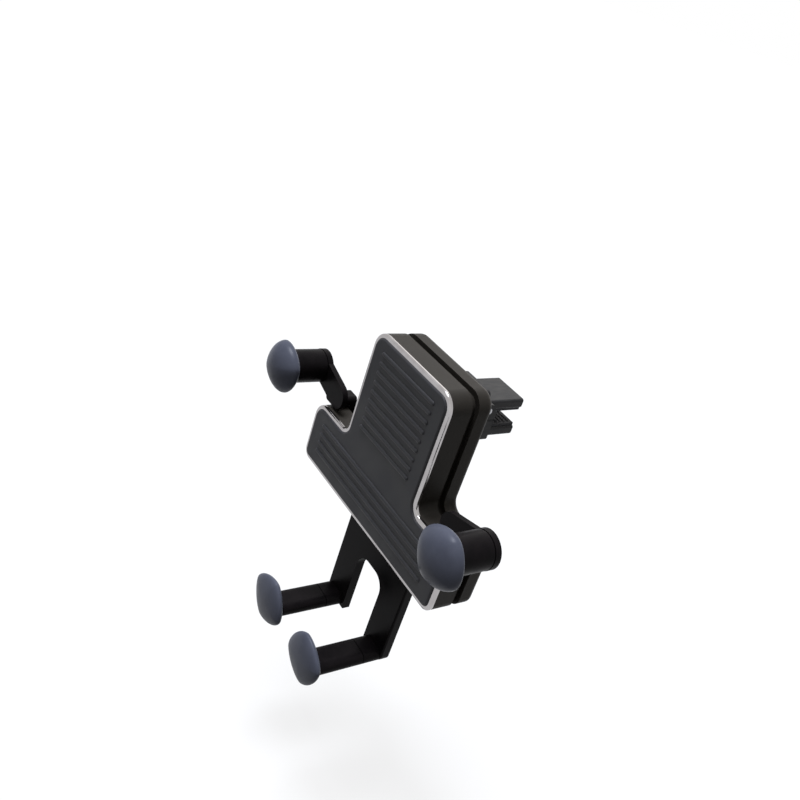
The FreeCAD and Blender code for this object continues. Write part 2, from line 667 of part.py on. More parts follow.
def make_right_arm_pad():
    """Soft head and plain sleeve of the right arm, both pushed on its peg."""
    plane = behind("side_cap_y")
    cap = make_cap("side_cap", "arm_reach", plane, "arm_z", "cap_across", "cap_along")
    bore_y = (behind("ear_front - peg_length"), behind("ear_front + run_on"))
    bore = rod("side_bore", "peg_radius", bore_y, "arm_reach", "arm_z")
    sleeve_y = (f"{plane} + cap_back - side_lap", behind("ear_front - sleeve_gap"))
    sleeve = rod("side_sleeve", "sleeve_radius", sleeve_y, "arm_reach", "arm_z")
    return [cut("right_arm_pad", cap, bore), cut("right_arm_sleeve", sleeve, bore, cap)]


def oblong(x, z, span):
    return [(f"{x} + {span}", z), (f"{x} - {span}", z)]


def make_leg_rack():
    """Rack of the right leg: teeth face out to the pinion."""
    root = f"pinion_x - {PITCH_RADIUS} - tooth_module * {DEDENDUM}"
    body = doc.addObject("PartDesign::Body", "leg_rack")
    low = "leg_top - run_on"
    outline = [("leg_in", low), (root, low), (root, "rack_top"), ("leg_in", "rack_top")]
    padded(body, "leg_bar", SLIDE, polygon, outline)
    first = f"pinion_z - {RACK_TEETH // 2} * {TOOTH_PITCH}"
    upright = rack_tooth(first, f"pinion_x - {PITCH_RADIUS}", "1")
    row_of_teeth(body, "leg_tooth", SLIDE, [(x, z) for z, x in upright], "V_Axis")
    return body


def make_foot_bracket():
    low = "foot_z - shelf_half"
    sheet = block("leg_plate", ("-leg_out", "leg_out"), SLIDE, (low, "leg_top"), "leg_round")
    arch_y = (f"{SLIDE[0]} - run_on", f"{SLIDE[1]} + run_on")
    arch_z = (f"{low} - run_through", "arch_top")
    arch = block("leg_arch", ("-leg_inner", "leg_inner"), arch_y, arch_z, "arch_round")
    legs = cut("leg_plate_open", soften(sheet, SLIDE[0], "edge_round"), arch)
    rack = make_leg_rack()
    bridge = box("upper_bridge", ("-leg_in - run_in", "leg_in + run_in"), SLIDE, ("bridge_low", "rack_top"))
    shelf_y = (behind("shelf_front"), SLIDE[1])
    shelf_ends = oblong("foot_x", "foot_z", "shelf_span")
    shelf = plate("foot_shelf", shelf_y, around_circles, shelf_ends, "shelf_half")
    peg_y = (behind("foot_peg_end"), behind("shelf_front + run_in"))
    peg_ends = oblong("foot_x", "foot_z", "foot_peg_span")
    peg = plate("foot_peg", peg_y, around_circles, peg_ends, "foot_peg_half")
    mirrored = [mirror(f"left_{item.Name}", item) for item in (rack, shelf, peg)]
    return fuse("foot_bracket", legs, rack, bridge, shelf, peg, *mirrored)


def make_right_foot_pad():
    """Soft head and plain sleeve of the right foot, both pushed on its peg."""
    plane = behind("foot_cap_y")
    cap = make_cap("foot_cap", "foot_x", plane, "foot_cap_z", "cap_along", "cap_across")
    bore_y = (behind("foot_peg_end"), behind("shelf_front + run_on"))
    peg_ends = oblong("foot_x", "foot_z", "foot_peg_span")
    bore = plate("foot_bore", bore_y, around_circles, peg_ends, "foot_peg_half")
    sleeve_y = (f"{plane} + cap_back - foot_lap", behind("shelf_front - sleeve_gap"))
    sleeve_ends = oblong("foot_x", "foot_z", "shelf_span")
    sleeve = plate("foot_sleeve", sleeve_y, around_circles, sleeve_ends, "shelf_half")
    return [cut("right_foot_pad", cap, bore), cut("right_foot_sleeve", sleeve, bore, cap)]


def coil(name, radius, wire, turns, length):
    """A coil spring standing on its own origin."""
    helix = doc.addObject("Part::Helix", name + "_line")
    helix.setExpression("Radius", ex(radius))
    helix.setExpression("Height", ex(f"{length} - 2 * {wire}"))
    helix.setExpression("Pitch", ex(f"({length} - 2 * {wire}) / {turns}"))
    section = doc.addObject("Part::Circle", name + "_wire")
    section.Placement.Rotation = FreeCAD.Rotation(FreeCAD.Vector(1, 0, 0), 90)
    section.setExpression("Radius", ex(wire))
    section.setExpression("Placement.Base.x", ex(radius))
    helix.recompute()
    spring = doc.addObject("Part::Sweep", name)
    spring.Sections = [section]
    spring.Spine = (helix, ["Edge1"])
    spring.Solid = True
    spring.Frenet = True
    return spring


def make_return_spring():
    seat = "bar_low + groove_depth + rim_wall"
    length = f"bridge_low - ({seat}) - fit_gap"
    spring = coil("return_spring", "spring_radius", "spring_wire", "spring_turns", length)
    middle = behind(f"{CEILING} - spring_radius - spring_wire - 2 * fit_gap")
    return place(spring, "0", middle, f"{seat} + spring_wire + fit_gap / 2")


def make_clip_spring():
    spring = coil("clip_spring", "coil_radius", "coil_wire", "coil_turns", "2 * (knuckle_cut - coil_play)")
    spring.Placement.Rotation = FreeCAD.Rotation(FreeCAD.Vector(0, 1, 0), 90)
    return place(spring, "coil_wire - knuckle_cut + coil_play", "clip_pin_y", "clip_pin_z")


def make_liner(name, inner, outer, cut_y):
    hollow = ball(name + "_hollow", inner)
    shell = cut(name + "_shell", ball(name + "_ball", outer), hollow)
    across = ("-run_through", "run_through")
    back = box(name + "_back", across, (f"{BALL_Y} + {cut_y}", f"{BALL_Y} + run_through"), across)
    front = rod(name + "_front", "neck_radius", (f"{BALL_Y} - run_through", BALL_Y))
    return cut(name, shell, back, front)


def make_liners():
    first = "ball_radius + liner_gap"
    second = "ball_radius + 2 * liner_gap + liner_thick"
    return [
        make_liner("inner_liner", first, f"{first} + liner_thick", "ball_radius * inner_liner_end"),
        make_liner("outer_liner", second, f"{second} + liner_thick", "ball_radius * outer_liner_end"),
    ]


def make_lock_nut():
    body = doc.addObject("PartDesign::Body", "nut_block")
    y = (behind("nut_front"), behind("nut_back"))
    padded(body, "nut_core", y, disc, "0", "0", "nut_radius")
    soften(body, y[1], "edge_round")
    notch_y = (behind(f"{BACK} + notch_rise"), behind("nut_back"))
    sketch = outlined(body, "nut_notch", notch_y[0], disc, "0", "nut_radius", "notch_radius")
    pocket = body.newObject("PartDesign::Pocket", "nut_notch_cut")
    pocket.Profile = sketch
    pocket.setExpression("Length", ex(f"({notch_y[1]}) - ({notch_y[0]}) + run_on"))
    ring = body.newObject("PartDesign::PolarPattern", "nut_notches")
    ring.Originals = [pocket]
    ring.Axis = (sketch, ["N_Axis"])
    ring.Angle = 360
    ring.Occurrences = NUT_NOTCHES
    body.Tip = ring
    bore = rod("nut_bore", "boss_radius + nut_play", (f"{y[0]} - run_on", f"{BALL_Y} + fit_gap"))
    mouth = rod("nut_mouth_way", "nut_mouth", (BALL_Y, f"{y[1]} + run_on"))
    return cut("lock_nut", body, bore, mouth, ball("nut_hollow", SEAT_RADIUS))


def make_ball_stud():
    neck = rod("stud_neck", "neck_radius", (BALL_Y, "neck_end"))
    return fuse("ball_stud", ball("stud_ball", "ball_radius"), neck)


def make_clip_hub():
    jaw_z = ("-jaw_inner - jaw_thick", "-jaw_inner")
    hub_y, hub_z = ("hub_front", "hub_back"), (jaw_z[0], "hub_top")
    core = block("hub_block", ("-hub_half", "hub_half"), hub_y, hub_z, "hub_round")
    soften(core, "hub_front", "edge_round")
    jaw = block("lower_jaw", ("-jaw_half", "jaw_half"), ("hub_back - run_on", "jaw_tip"), jaw_z, "jaw_round")
    soften(jaw, "jaw_tip", "edge_round")
    ears = []
    for sign, side in ((1, "right"), (-1, "left")):
        near, far = f"{sign} * (jaw_half + ear_gap)", f"{sign} * hub_half"
        x = (near, far) if sign > 0 else (far, near)
        low_z = ("hub_top - run_in", "clip_pin_z")
        low = box(f"{side}_ear_low", x, ("hub_front + ear_inset", "hub_back"), low_z)
        ears += [low, cross_rod(f"{side}_ear_round", "knuckle_radius", x, "clip_pin_y", "clip_pin_z")]
    boss_y = ("hub_front - stud_boss_length", "clip_pin_y - knuckle_radius - clearance")
    boss = rod("stud_boss", "stud_boss_radius", boss_y)
    bore = rod("stud_bore", "neck_radius", (f"{boss_y[0]} - run_on", "neck_end"))
    pin_x = ("-hub_half - run_on", "hub_half + run_on")
    pin = cross_rod("ear_bore", "clip_pin_radius", pin_x, "clip_pin_y", "clip_pin_z")
    return cut("clip_hub", fuse("hub_whole", core, jaw, boss, *ears), bore, pin)


def make_clip_jaw():
    jaw_x = ("-jaw_half", "jaw_half")
    knuckle = cross_rod("jaw_knuckle", "knuckle_radius", jaw_x, "clip_pin_y", "clip_pin_z")
    jaw_z = ("jaw_inner", "jaw_inner + jaw_thick")
    beam = block("jaw_beam", ("-jaw_half", "jaw_half"), ("clip_pin_y", "jaw_tip"), jaw_z, "jaw_round")
    soften(beam, "jaw_tip", "edge_round")
    tab_y = ("clip_pin_y - tab_thick", "clip_pin_y")
    tab = block("jaw_tab", ("-jaw_half", "jaw_half"), tab_y, ("clip_pin_z", "tab_top"), "tab_round")
    soften(tab, tab_y[0], "edge_round")
    bore_x = ("-run_through", "run_through")
    bore = cross_rod("jaw_bore", "clip_pin_radius + pin_play", bore_x, "clip_pin_y", "clip_pin_z")
    gap_x = ("-knuckle_cut", "knuckle_cut")
    gap = cross_rod("spring_gap", "knuckle_radius + run_in", gap_x, "clip_pin_y", "clip_pin_z")
    return cut("clip_jaw", fuse("jaw_whole", knuckle, beam, tab), bore, gap)


def make_grips():
    x, y = ("grip_inset - jaw_half", "jaw_half - grip_inset"), ("hub_back + grip_root", "jaw_tip - grip_end")
    upper = box("upper_grip", x, y, ("jaw_inner - grip_thick", "jaw_inner"))
    lower = box("lower_grip", x, y, ("-jaw_inner", "grip_thick - jaw_inner"))
    return [upper, lower]


def make_pinion_set(side, x):
    body, bore = make_pinion(side + "_wheel", x)
    pinion = cut(side + "_pinion", body, bore)
    pin_y = (behind(FLOOR), behind(CEILING))
    return [pinion, rod(side + "_pinion_pin", "pinion_pin_radius", pin_y, x, "pinion_z")]


def make_all():
    sided = [make_right_arm(), *make_right_arm_pad(), *make_right_foot_pad()]
    pieces = [make_front_housing(), make_rear_housing(), *make_face_pieces()]
    pieces += [make_screw(*spot_of) for spot_of in screw_spots()]
    pieces += make_pinion_set("right", "pinion_x") + make_pinion_set("left", "-pinion_x")
    pieces += sided + [mirror(item.Name.replace("right", "left"), item) for item in sided]
    pieces += [make_foot_bracket(), make_return_spring()]
    pieces += [*make_liners(), make_lock_nut(), make_ball_stud()]
    pieces += [make_clip_hub(), make_clip_jaw(), *make_grips(), make_clip_spring()]
    pin_x = ("-hub_half", "hub_half")
    pieces.append(cross_rod("clip_pin", "clip_pin_radius", pin_x, "clip_pin_y", "clip_pin_z"))
    return pieces


def check_document():
    for item in doc.Objects:
        if "Invalid" in item.State or "Error" in item.State:
            raise RuntimeError(f"{item.Name} did not build: {item.State}")


def export(pieces):
    os.makedirs("parts", exist_ok=True)
    for item in pieces:
        shape = item.Shape
        if shape.isNull() or not shape.isValid() or len(shape.Solids) != 1:
            raise RuntimeError(f"{item.Name} is not one sound solid: {len(shape.Solids)} solids")
        shape.exportStep(f"parts/{item.Name}.step")
        print(f"{item.Name}: {shape.Volume:.1f} mm3")


fill_sheet()
all_pieces = make_all()
doc.recompute()
check_document()
export(all_pieces)
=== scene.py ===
import json
import math

import bmesh
import bpy
from mathutils import Matrix, Vector


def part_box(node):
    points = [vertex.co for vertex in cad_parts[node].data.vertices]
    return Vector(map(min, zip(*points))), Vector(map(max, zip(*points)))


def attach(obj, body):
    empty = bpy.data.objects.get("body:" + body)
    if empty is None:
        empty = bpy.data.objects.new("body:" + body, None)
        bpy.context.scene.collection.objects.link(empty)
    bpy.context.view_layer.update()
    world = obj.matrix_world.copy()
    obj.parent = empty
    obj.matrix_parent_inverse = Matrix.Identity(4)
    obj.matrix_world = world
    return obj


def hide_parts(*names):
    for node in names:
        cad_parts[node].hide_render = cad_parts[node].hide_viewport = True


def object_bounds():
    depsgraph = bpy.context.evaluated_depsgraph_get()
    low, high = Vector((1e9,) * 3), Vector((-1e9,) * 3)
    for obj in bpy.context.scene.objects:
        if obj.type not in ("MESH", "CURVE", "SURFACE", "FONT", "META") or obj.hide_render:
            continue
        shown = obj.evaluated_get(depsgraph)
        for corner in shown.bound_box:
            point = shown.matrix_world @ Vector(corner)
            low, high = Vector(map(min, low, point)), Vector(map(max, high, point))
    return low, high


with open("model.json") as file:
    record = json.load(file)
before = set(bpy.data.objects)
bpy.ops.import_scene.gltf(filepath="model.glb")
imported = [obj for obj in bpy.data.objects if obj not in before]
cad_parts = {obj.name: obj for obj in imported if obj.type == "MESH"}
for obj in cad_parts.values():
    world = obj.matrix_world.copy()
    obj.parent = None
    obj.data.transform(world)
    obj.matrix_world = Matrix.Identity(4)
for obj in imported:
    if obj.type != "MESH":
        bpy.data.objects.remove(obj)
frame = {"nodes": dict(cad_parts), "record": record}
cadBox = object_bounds()
nodes = frame["nodes"]
bodyOf = {node: body for body, held in frame["record"]["behaviour"]["bodies"].items() for node in held}
mm = 0.001
print("frame loaded:", len(nodes), "nodes")


def linear(hexCode):  # sRGB hex to the linear colour that sockets want
    shares = [int(hexCode[i:i + 2], 16) / 255 for i in (1, 3, 5)]
    return (*[s / 12.92 if s <= 0.04045 else ((s + 0.055) / 1.055) ** 2.4 for s in shares], 1)


def addNode(tree, kind, inputs=None, **settings):  # inputs are numbers, colours or other nodes' sockets
    node = tree.nodes.new(kind)
    for key, value in settings.items():
        setattr(node, key, value)
    for key, value in (inputs or {}).items():
        if isinstance(value, bpy.types.NodeSocket):
            tree.links.new(value, node.inputs[key])
        else:
            node.inputs[key].default_value = value
    return node


def newFinish(name, **surface):  # a material with one shader; surface gives that shader's sockets
    finish = bpy.data.materials.new(name)
    finish.use_nodes = True
    tree = finish.node_tree
    tree.nodes.clear()
    sockets = {key.replace("_", " "): value for key, value in surface.items()}
    shader = addNode(tree, "ShaderNodeBsdfPrincipled", sockets)
    addNode(tree, "ShaderNodeOutputMaterial", {"Surface": shader.outputs["BSDF"]})
    return finish, tree, shader


def cloudPattern(tree, sizeMm, detail=2.0, stretch=(1, 1, 1)):  # clouds of a real size on the piece
    place = addNode(tree, "ShaderNodeTexCoord")
    drawn = addNode(tree, "ShaderNodeMapping", {"Vector": place.outputs["Object"], "Scale": stretch})
    return addNode(tree, "ShaderNodeTexNoise", {
        "Vector": drawn.outputs["Vector"], "Scale": 1 / (sizeMm * mm), "Detail": detail})


def grain(tree, shader, sizeMm, heightMm, strength):  # moulded-in texture
    bump = addNode(tree, "ShaderNodeBump", {
        "Height": cloudPattern(tree, sizeMm).outputs["Fac"],
        "Strength": strength, "Distance": heightMm * mm})
    tree.links.new(bump.outputs["Normal"], shader.inputs["Normal"])


cloudLook = {"detail": 3.0, "low": 0.35, "high": 0.65}  # noise from low to high spans the two tones


def mottle(tree, shader, sizeMm, colours, gloss, stretch=(1, 1, 1)):  # tone and roughness drift a bit
    cloud = cloudPattern(tree, sizeMm, cloudLook["detail"], stretch)
    share = addNode(tree, "ShaderNodeMapRange", {
        "Value": cloud.outputs["Fac"], "From Min": cloudLook["low"], "From Max": cloudLook["high"]})
    drift = share.outputs["Result"]
    tone = addNode(tree, "ShaderNodeMix", {  # its inputs 6 and 7 and its output 2 are colours
        "Factor": drift, 6: linear(colours[0]), 7: linear(colours[1])}, data_type="RGBA")
    rough = addNode(tree, "ShaderNodeMapRange", {
        "Value": drift, "To Min": gloss[0], "To Max": gloss[1]})
    tree.links.new(tone.outputs[2], shader.inputs["Base Color"])
    tree.links.new(rough.outputs["Result"], shader.inputs["Roughness"])


def softTouchRubber():  # overmoulded TPE, soft to the touch: slate, a cool bloom where light grazes it
    finish, tree, shader = newFinish(
        "softTouchRubber", IOR=1.5, Specular_IOR_Level=0.10,
        Sheen_Weight=0.02, Sheen_Roughness=0.4, Sheen_Tint=linear("#9fb0cc"))
    mottle(tree, shader, 5.0, ("#4f525e", "#565965"), (0.32, 0.39))
    grain(tree, shader, 0.7, 0.02, 0.25)  # the real grain is finer; drawn this coarse so that it shows
    return finish


def ribbedSilicone():  # moulded silicone rubber: black, dull, a little dusty
    finish, tree, shader = newFinish(
        "ribbedSilicone", IOR=1.43, Specular_IOR_Level=0.3,
        Sheen_Weight=0.03, Sheen_Roughness=0.5, Sheen_Tint=linear("#c8cad0"))
    mottle(tree, shader, 7.0, ("#2a2a2c", "#303033"), (0.48, 0.58))
    grain(tree, shader, 0.9, 0.02, 0.2)  # drawn coarser than it is, so that it shows
    return finish


def sparkedAbs():  # ABS moulded in a spark-eroded tool: warm dark grey with a fine even grain
    finish, tree, shader = newFinish("sparkedAbs", IOR=1.53, Specular_IOR_Level=0.06)
    mottle(tree, shader, 9.0, ("#2d2a26", "#322f2b"), (0.42, 0.50))
    grain(tree, shader, 0.6, 0.03, 0.35)  # about twice the real grain, so that it shows
    return finish


def platedTrim():  # chrome-plated ABS: bright, faintly wavy, with a trace of satin
    finish, tree, shader = newFinish("platedTrim", Metallic=1.0)
    mottle(tree, shader, 3.0, ("#a39f9f", "#adaaaa"), (0.14, 0.24))
    grain(tree, shader, 2.5, 0.01, 0.1)
    return finish


def polishedAbs():  # ABS from a polished tool: black, semi-gloss, with cloudy flow marks
    finish, tree, shader = newFinish("polishedAbs", IOR=1.53, Specular_IOR_Level=0.03)
    mottle(tree, shader, 4.0, ("#131112", "#181516"), (0.30, 0.38))
    return finish


def naturalAcetal():  # unfilled acetal: milky white, waxy
    finish, tree, shader = newFinish("naturalAcetal", IOR=1.48)
    mottle(tree, shader, 3.0, ("#d3d0c5", "#dedbd2"), (0.36, 0.45))
    return finish


def glassFilledNylon():  # glass-filled nylon: black and dull, with pale streaks along the flow
    finish, tree, shader = newFinish("glassFilledNylon", IOR=1.53, Specular_IOR_Level=0.15)
    mottle(tree, shader, 1.2, ("#1b1b1c", "#242425"), (0.42, 0.54), stretch=(1, 0.25, 1))
    grain(tree, shader, 0.8, 0.03, 0.3)  # drawn coarser than it is, so that it shows
    return finish


def gripRubber():  # nitrile rubber: dark grey, matt
    finish, tree, shader = newFinish("gripRubber", IOR=1.5, Specular_IOR_Level=0.3)
    mottle(tree, shader, 2.0, ("#343437", "#3c3c3f"), (0.70, 0.80))
    grain(tree, shader, 0.5, 0.02, 0.3)  # drawn coarser than it is, so that it shows
    return finish


def drawnSteel():  # drawn and zinc-plated steel: grey, satin, a little clouded
    finish, tree, shader = newFinish("drawnSteel", Metallic=1.0)
    mottle(tree, shader, 1.5, ("#9c9c9f", "#aaaaad"), (0.25, 0.36))
    return finish


finishes = {
    "pad_rubber": softTouchRubber(),
    "rest_silicone": ribbedSilicone(),
    "housing_plastic": sparkedAbs(),
    "bright_trim": platedTrim(),
    "arm_plastic": polishedAbs(),
    "gear_plastic": naturalAcetal(),
    "clip_plastic": glassFilledNylon(),
    "ball_plastic": polishedAbs(),
    "grip_rubber": gripRubber(),
    "steel": drawnSteel(),
}


def dressNodes():  # every CAD node takes the finish of its slot in the record
    for part in frame["record"]["subparts"]:
        for holder in nodes[part["node"]].material_slots:
            holder.material = finishes[part["material_slot"]]


dressNodes()
print("finishes set:", len(finishes))


def newPiece(name, mesh, slotName, sharpDegrees):  # a mesh as an object, in its finish and smooth
    mesh.materials.clear()
    mesh.materials.append(finishes[slotName])
    mesh.shade_smooth()
    mesh.set_sharp_from_angle(angle=math.radians(sharpDegrees))
    piece = bpy.data.objects.new(name, mesh)
    bpy.context.collection.objects.link(piece)
    return piece


sideHead = {  # millimetres and degrees; a fullness of 1 is a diamond, 2 an ellipse
    "across": 8.4, "along": 8.16, "fullness": 1.7, "turn": -21.8,
    "front": 4.68, "back": 1.78,  # depth of the dome and of the underside
    "ahead": 1.78,  # from the CAD pad's back to the head's widest plane
    "neck": 0.5,  # share of the size that is left at the back
}
footHead = dict(
    sideHead, across=8.9, along=8.35, fullness=1.56, turn=15.0, front=2.0, back=1.81, ahead=3.75)
footCollar = {"fullness": 3.2, "share": 0.97, "lapMm": 0.6}  # lap into the head and into the sleeve
headMesh = {
    "spokes": 96, "step": 6,  # points round a ring, and degrees of the dome from ring to ring
    "sharp": 50,  # edges steeper than this many degrees stay crisp
}


def petal(look, share, outward=1):  # one ring, as steps across and up from its middle
    power = 2 / look["fullness"]
    turn = math.radians(look["turn"])
    ring = []
    for i in range(headMesh["spokes"]):
        way = 2 * math.pi * i / headMesh["spokes"]
        x = math.copysign(abs(math.cos(way)) ** power, math.cos(way)) * look["across"] * share * mm
        z = math.copysign(abs(math.sin(way)) ** power, math.sin(way)) * look["along"] * share * mm
        turnedX = x * math.cos(turn) - z * math.sin(turn)
        turnedZ = x * math.sin(turn) + z * math.cos(turn)
        ring.append((outward * turnedX, turnedZ))
    return ring


def petalRings(look, middle, plane):  # from the neck to the top of the dome
    outward = math.copysign(1, middle.x)
    rings = []
    for angle in range(-90, 90, headMesh["step"]):
        bow = math.cos(math.radians(angle))
        share = bow if angle >= 0 else look["neck"] + (1 - look["neck"]) * bow
        depth = look["front"] if angle >= 0 else look["back"]
        y = plane - math.sin(math.radians(angle)) * depth * mm
        rings.append([(middle.x + x, y, middle.z + z) for x, z in petal(look, share, outward)])
    return rings


def closedSkin(name, rings, middle, ends, slotName):  # a skin over rings of points, closed at both ends
    skin = bmesh.new()
    loops = [[skin.verts.new(point) for point in ring] for ring in rings]
    for behind, ahead in zip(loops, loops[1:]):
        for i in range(headMesh["spokes"]):
            skin.faces.new((behind[i - 1], behind[i], ahead[i], ahead[i - 1]))
    for loop, y in zip((loops[0], loops[-1]), ends):
        tip = skin.verts.new((middle.x, y, middle.z))
        for i in range(headMesh["spokes"]):
            skin.faces.new((loop[i - 1], loop[i], tip))
    bmesh.ops.recalc_face_normals(skin, faces=skin.faces)
    mesh = bpy.data.meshes.new(name)
    skin.to_mesh(mesh)
    skin.free()
    return newPiece(name, mesh, slotName, headMesh["sharp"])


def petalHead(node, look):  # a domed rubber head in place of a CAD pad
    low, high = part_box(node)
    middle = (low + high) / 2
    plane = high.y - look["ahead"] * mm
    ends = (plane + look["back"] * mm, plane - look["front"] * mm)
    piece = closedSkin(node + "_skin", petalRings(look, middle, plane), middle, ends, "pad_rubber")
    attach(piece, bodyOf[node])
    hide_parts(node)


def sleeveCollar(side):  # carries a foot's sleeve on into its head
    sleeve = side + "_foot_sleeve"
    low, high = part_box(sleeve)
    middle = (low + high) / 2
    half = (high - low) / 2 / mm
    section = {"across": half.x, "along": half.z, "fullness": footCollar["fullness"], "turn": 0}
    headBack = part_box(side + "_foot_pad")[1].y - (footHead["ahead"] - footHead["back"]) * mm
    ends = (low.y + footCollar["lapMm"] * mm, headBack - footCollar["lapMm"] * mm)
    ring = petal(section, footCollar["share"])
    rings = [[(middle.x + x, y, middle.z + z) for x, z in ring] for y in ends]
    piece = closedSkin(side + "_foot_collar", rings, middle, ends, "arm_plastic")
    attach(piece, bodyOf[sleeve])


for side in ("right", "left"):
    petalHead(side + "_arm_pad", sideHead)
    petalHead(side + "_foot_pad", footHead)
    sleeveCollar(side)
print("pad heads and collars moulded")


ribMesh = {
    "round": 16, "rings": 8,  # points round a rib, and rings on the ball at its end
    "sharp": 70,  # edges steeper than this many degrees stay crisp
}
ribInputs = {
    "Count": "NodeSocketInt", "Spacing": "NodeSocketFloat", "Length": "NodeSocketFloat",
    "Radius": "NodeSocketFloat", "Flatness": "NodeSocketFloat", "Material": "NodeSocketMaterial",
}


def roundBar(tree, given):  # a bar along Z with a ball at each end
    bar = addNode(tree, "GeometryNodeMeshCylinder", {
        "Vertices": ribMesh["round"], "Radius": given["Radius"], "Depth": given["Length"]})
    ball = addNode(tree, "GeometryNodeMeshUVSphere", {
        "Segments": ribMesh["round"], "Rings": ribMesh["rings"], "Radius": given["Radius"]})
    joined = addNode(tree, "GeometryNodeJoinGeometry", {0: bar.outputs["Mesh"]})
    for share in (0.5, -0.5):  # of the length, up and down from the middle
        reach = addNode(tree, "ShaderNodeMath", {0: given["Length"], 1: share}, operation="MULTIPLY")
        spot = addNode(tree, "ShaderNodeCombineXYZ", {"Z": reach.outputs[0]})
        end = addNode(tree, "GeometryNodeTransform", {
            "Geometry": ball.outputs["Mesh"], "Translation": spot.outputs[0]})
        tree.links.new(end.outputs["Geometry"], joined.inputs[0])
    return joined.outputs[0]


def ribTree():  # a ladder of flattened round-ended ribs, which climbs along Z in the XZ plane
    tree = bpy.data.node_groups.new("ribLadder", "GeometryNodeTree")
    for name, kind in ribInputs.items():
        tree.interface.new_socket(name, in_out="INPUT", socket_type=kind)
    tree.interface.new_socket("Geometry", in_out="OUTPUT", socket_type="NodeSocketGeometry")
    given = addNode(tree, "NodeGroupInput").outputs
    step = addNode(tree, "ShaderNodeCombineXYZ", {"Z": given["Spacing"]})
    rungs = addNode(tree, "GeometryNodeMeshLine", {"Count": given["Count"], "Offset": step.outputs[0]})
    laid = addNode(tree, "GeometryNodeTransform", {
        "Geometry": roundBar(tree, given), "Rotation": (0, math.radians(90), 0)})
    squeeze = addNode(tree, "ShaderNodeCombineXYZ", {"X": 1.0, "Y": given["Flatness"], "Z": 1.0})
    rib = addNode(tree, "GeometryNodeTransform", {
        "Geometry": laid.outputs["Geometry"], "Scale": squeeze.outputs[0]})
    ladder = addNode(tree, "GeometryNodeInstanceOnPoints", {
        "Points": rungs.outputs["Mesh"], "Instance": rib.outputs["Geometry"]})
    real = addNode(tree, "GeometryNodeRealizeInstances", {"Geometry": ladder.outputs["Instances"]})
    painted = addNode(tree, "GeometryNodeSetMaterial", {
        "Geometry": real.outputs["Geometry"], "Material": given["Material"]})
    addNode(tree, "NodeGroupOutput", {0: painted.outputs["Geometry"]})
    return tree


ladderTree = ribTree()


def keepMesh(maker, name, slotName):  # the evaluated result as a plain mesh object; the maker goes
    graph = bpy.context.evaluated_depsgraph_get()
    mesh = bpy.data.meshes.new_from_object(maker.evaluated_get(graph))
    bpy.data.objects.remove(maker)
    piece = newPiece(name, mesh, slotName, ribMesh["sharp"])
    mesh.polygons.foreach_set("material_index", [0] * len(mesh.polygons))
    return piece


def ribLadder(name, ribs, slotName, turn=Matrix.Identity(3)):  # one piece, with its place in its mesh
    maker = bpy.data.objects.new(name + "_maker", bpy.data.meshes.new(name + "_maker"))
    bpy.context.collection.objects.link(maker)
    modifier = maker.modifiers.new("ribs", "NODES")
    modifier.node_group = ladderTree
    values = {
        "Count": ribs["count"], "Spacing": ribs["spacingMm"] * mm, "Length": ribs["lengthMm"] * mm,
        "Radius": ribs["widthMm"] / 2 * mm, "Flatness": ribs["heightMm"] / (ribs["widthMm"] / 2),
        "Material": finishes[slotName]}
    for item in ladderTree.interface.items_tree:
        if item.in_out == "INPUT":
            modifier[item.identifier] = values[item.name]
    piece = keepMesh(maker, name, slotName)
    piece.data.transform(Matrix.Translation(Vector(ribs["firstMm"]) * mm) @ turn.to_4x4())
    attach(piece, bodyOf[ribs["on"]])


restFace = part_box("front_rest")[0].y / mm
towerRibs = {
    "on": "front_rest", "count": 9, "firstMm": (0, restFace, -13.0),
    "spacingMm": 3.0, "lengthMm": 25.0, "widthMm": 1.3, "heightMm": 0.45,
}
barRibs = dict(towerRibs, count=4, firstMm=(0, restFace, -33.8), lengthMm=60.0)
ribLadder("tower_ribs", towerRibs, "rest_silicone")
ribLadder("bar_ribs", barRibs, "rest_silicone")

towardsVent = Matrix.Rotation(math.radians(-90), 3, "X")  # the ladder climbs along Y instead of Z
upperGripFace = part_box("upper_grip")[0].z / mm
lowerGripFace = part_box("lower_grip")[1].z / mm
upperGripRibs = {
    "on": "upper_grip", "count": 6, "firstMm": (0, -2.2, upperGripFace),
    "spacingMm": 1.5, "lengthMm": 9.6, "widthMm": 0.6, "heightMm": 0.2,
}
lowerGripRibs = dict(upperGripRibs, on="lower_grip", firstMm=(0, -2.2, lowerGripFace))
ribLadder("upper_grip_ribs", upperGripRibs, "grip_rubber", towardsVent)
ribLadder("lower_grip_ribs", lowerGripRibs, "grip_rubber", towardsVent)

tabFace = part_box("clip_jaw")[0].y / mm
tabRibs = {
    "on": "clip_jaw", "count": 3, "firstMm": (0, tabFace, 5.6),
    "spacingMm": 1.2, "lengthMm": 8.0, "widthMm": 0.6, "heightMm": 0.2,
}
ribLadder("thumb_ribs", tabRibs, "clip_plastic")
print("ribs laid")

floorLook = {
    "dropMm": 45, "halfSideM": 40.0,  # how far below the holder it lies, and half its width
    "glow": 0.76, "albedo": 0.2,  # as seen: these add up to white where it is lit
    "bounce": 0.06,  # albedo for the light that it throws back
}


def seenRays(tree):  # 1 for rays that show the background: straight, mirrored or through glass
    rays = addNode(tree, "ShaderNodeLightPath").outputs
    seen = rays["Is Camera Ray"]
    for kind in ("Is Glossy Ray", "Is Transmission Ray"):
        seen = addNode(tree, "ShaderNodeMath", {0: seen, 1: rays[kind]}, operation="MAXIMUM").outputs[0]
    return seen


